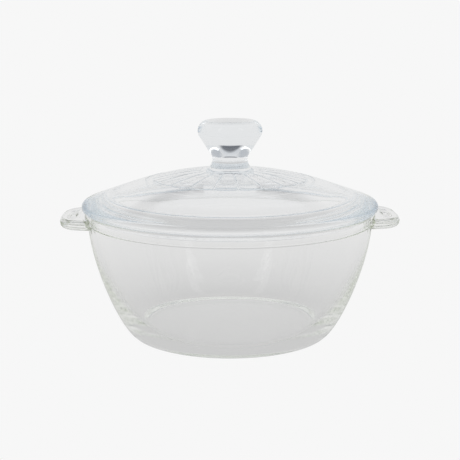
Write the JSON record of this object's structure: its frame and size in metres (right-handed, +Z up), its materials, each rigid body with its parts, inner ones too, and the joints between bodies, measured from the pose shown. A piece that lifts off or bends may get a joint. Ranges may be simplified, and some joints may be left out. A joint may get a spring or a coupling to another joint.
{
  "type": "covered casserole dish",
  "caption": "Round clear-glass casserole with flaring wall, flat base, tab handles at the rim and a domed lift-off lid with solid glass knob and sunburst panel.",
  "frame": {"origin": "centre of the flat base, on the surface that the dish stands on", "axes": "+Z up along the axis of the dish and the knob, +X through the two tab handles"},
  "size_m": [0.233, 0.2034, 0.1482],
  "materials": {
    "dish_glass": "clear pressed glass, faintly yellow-green where it is thick",
    "lid_glass": "clear pressed glass, faintly blue-grey where it is thick"
  },
  "bodies": {
    "dish": {"dish": "dish_glass"},
    "lid": {"lid": "lid_glass"}
  },
  "joints": [
    {"name": "lid_lift", "type": "slide", "parent": "dish", "child": "lid", "axis": [0, 0, 1], "range_m": [0, 0.1]}
  ]
}
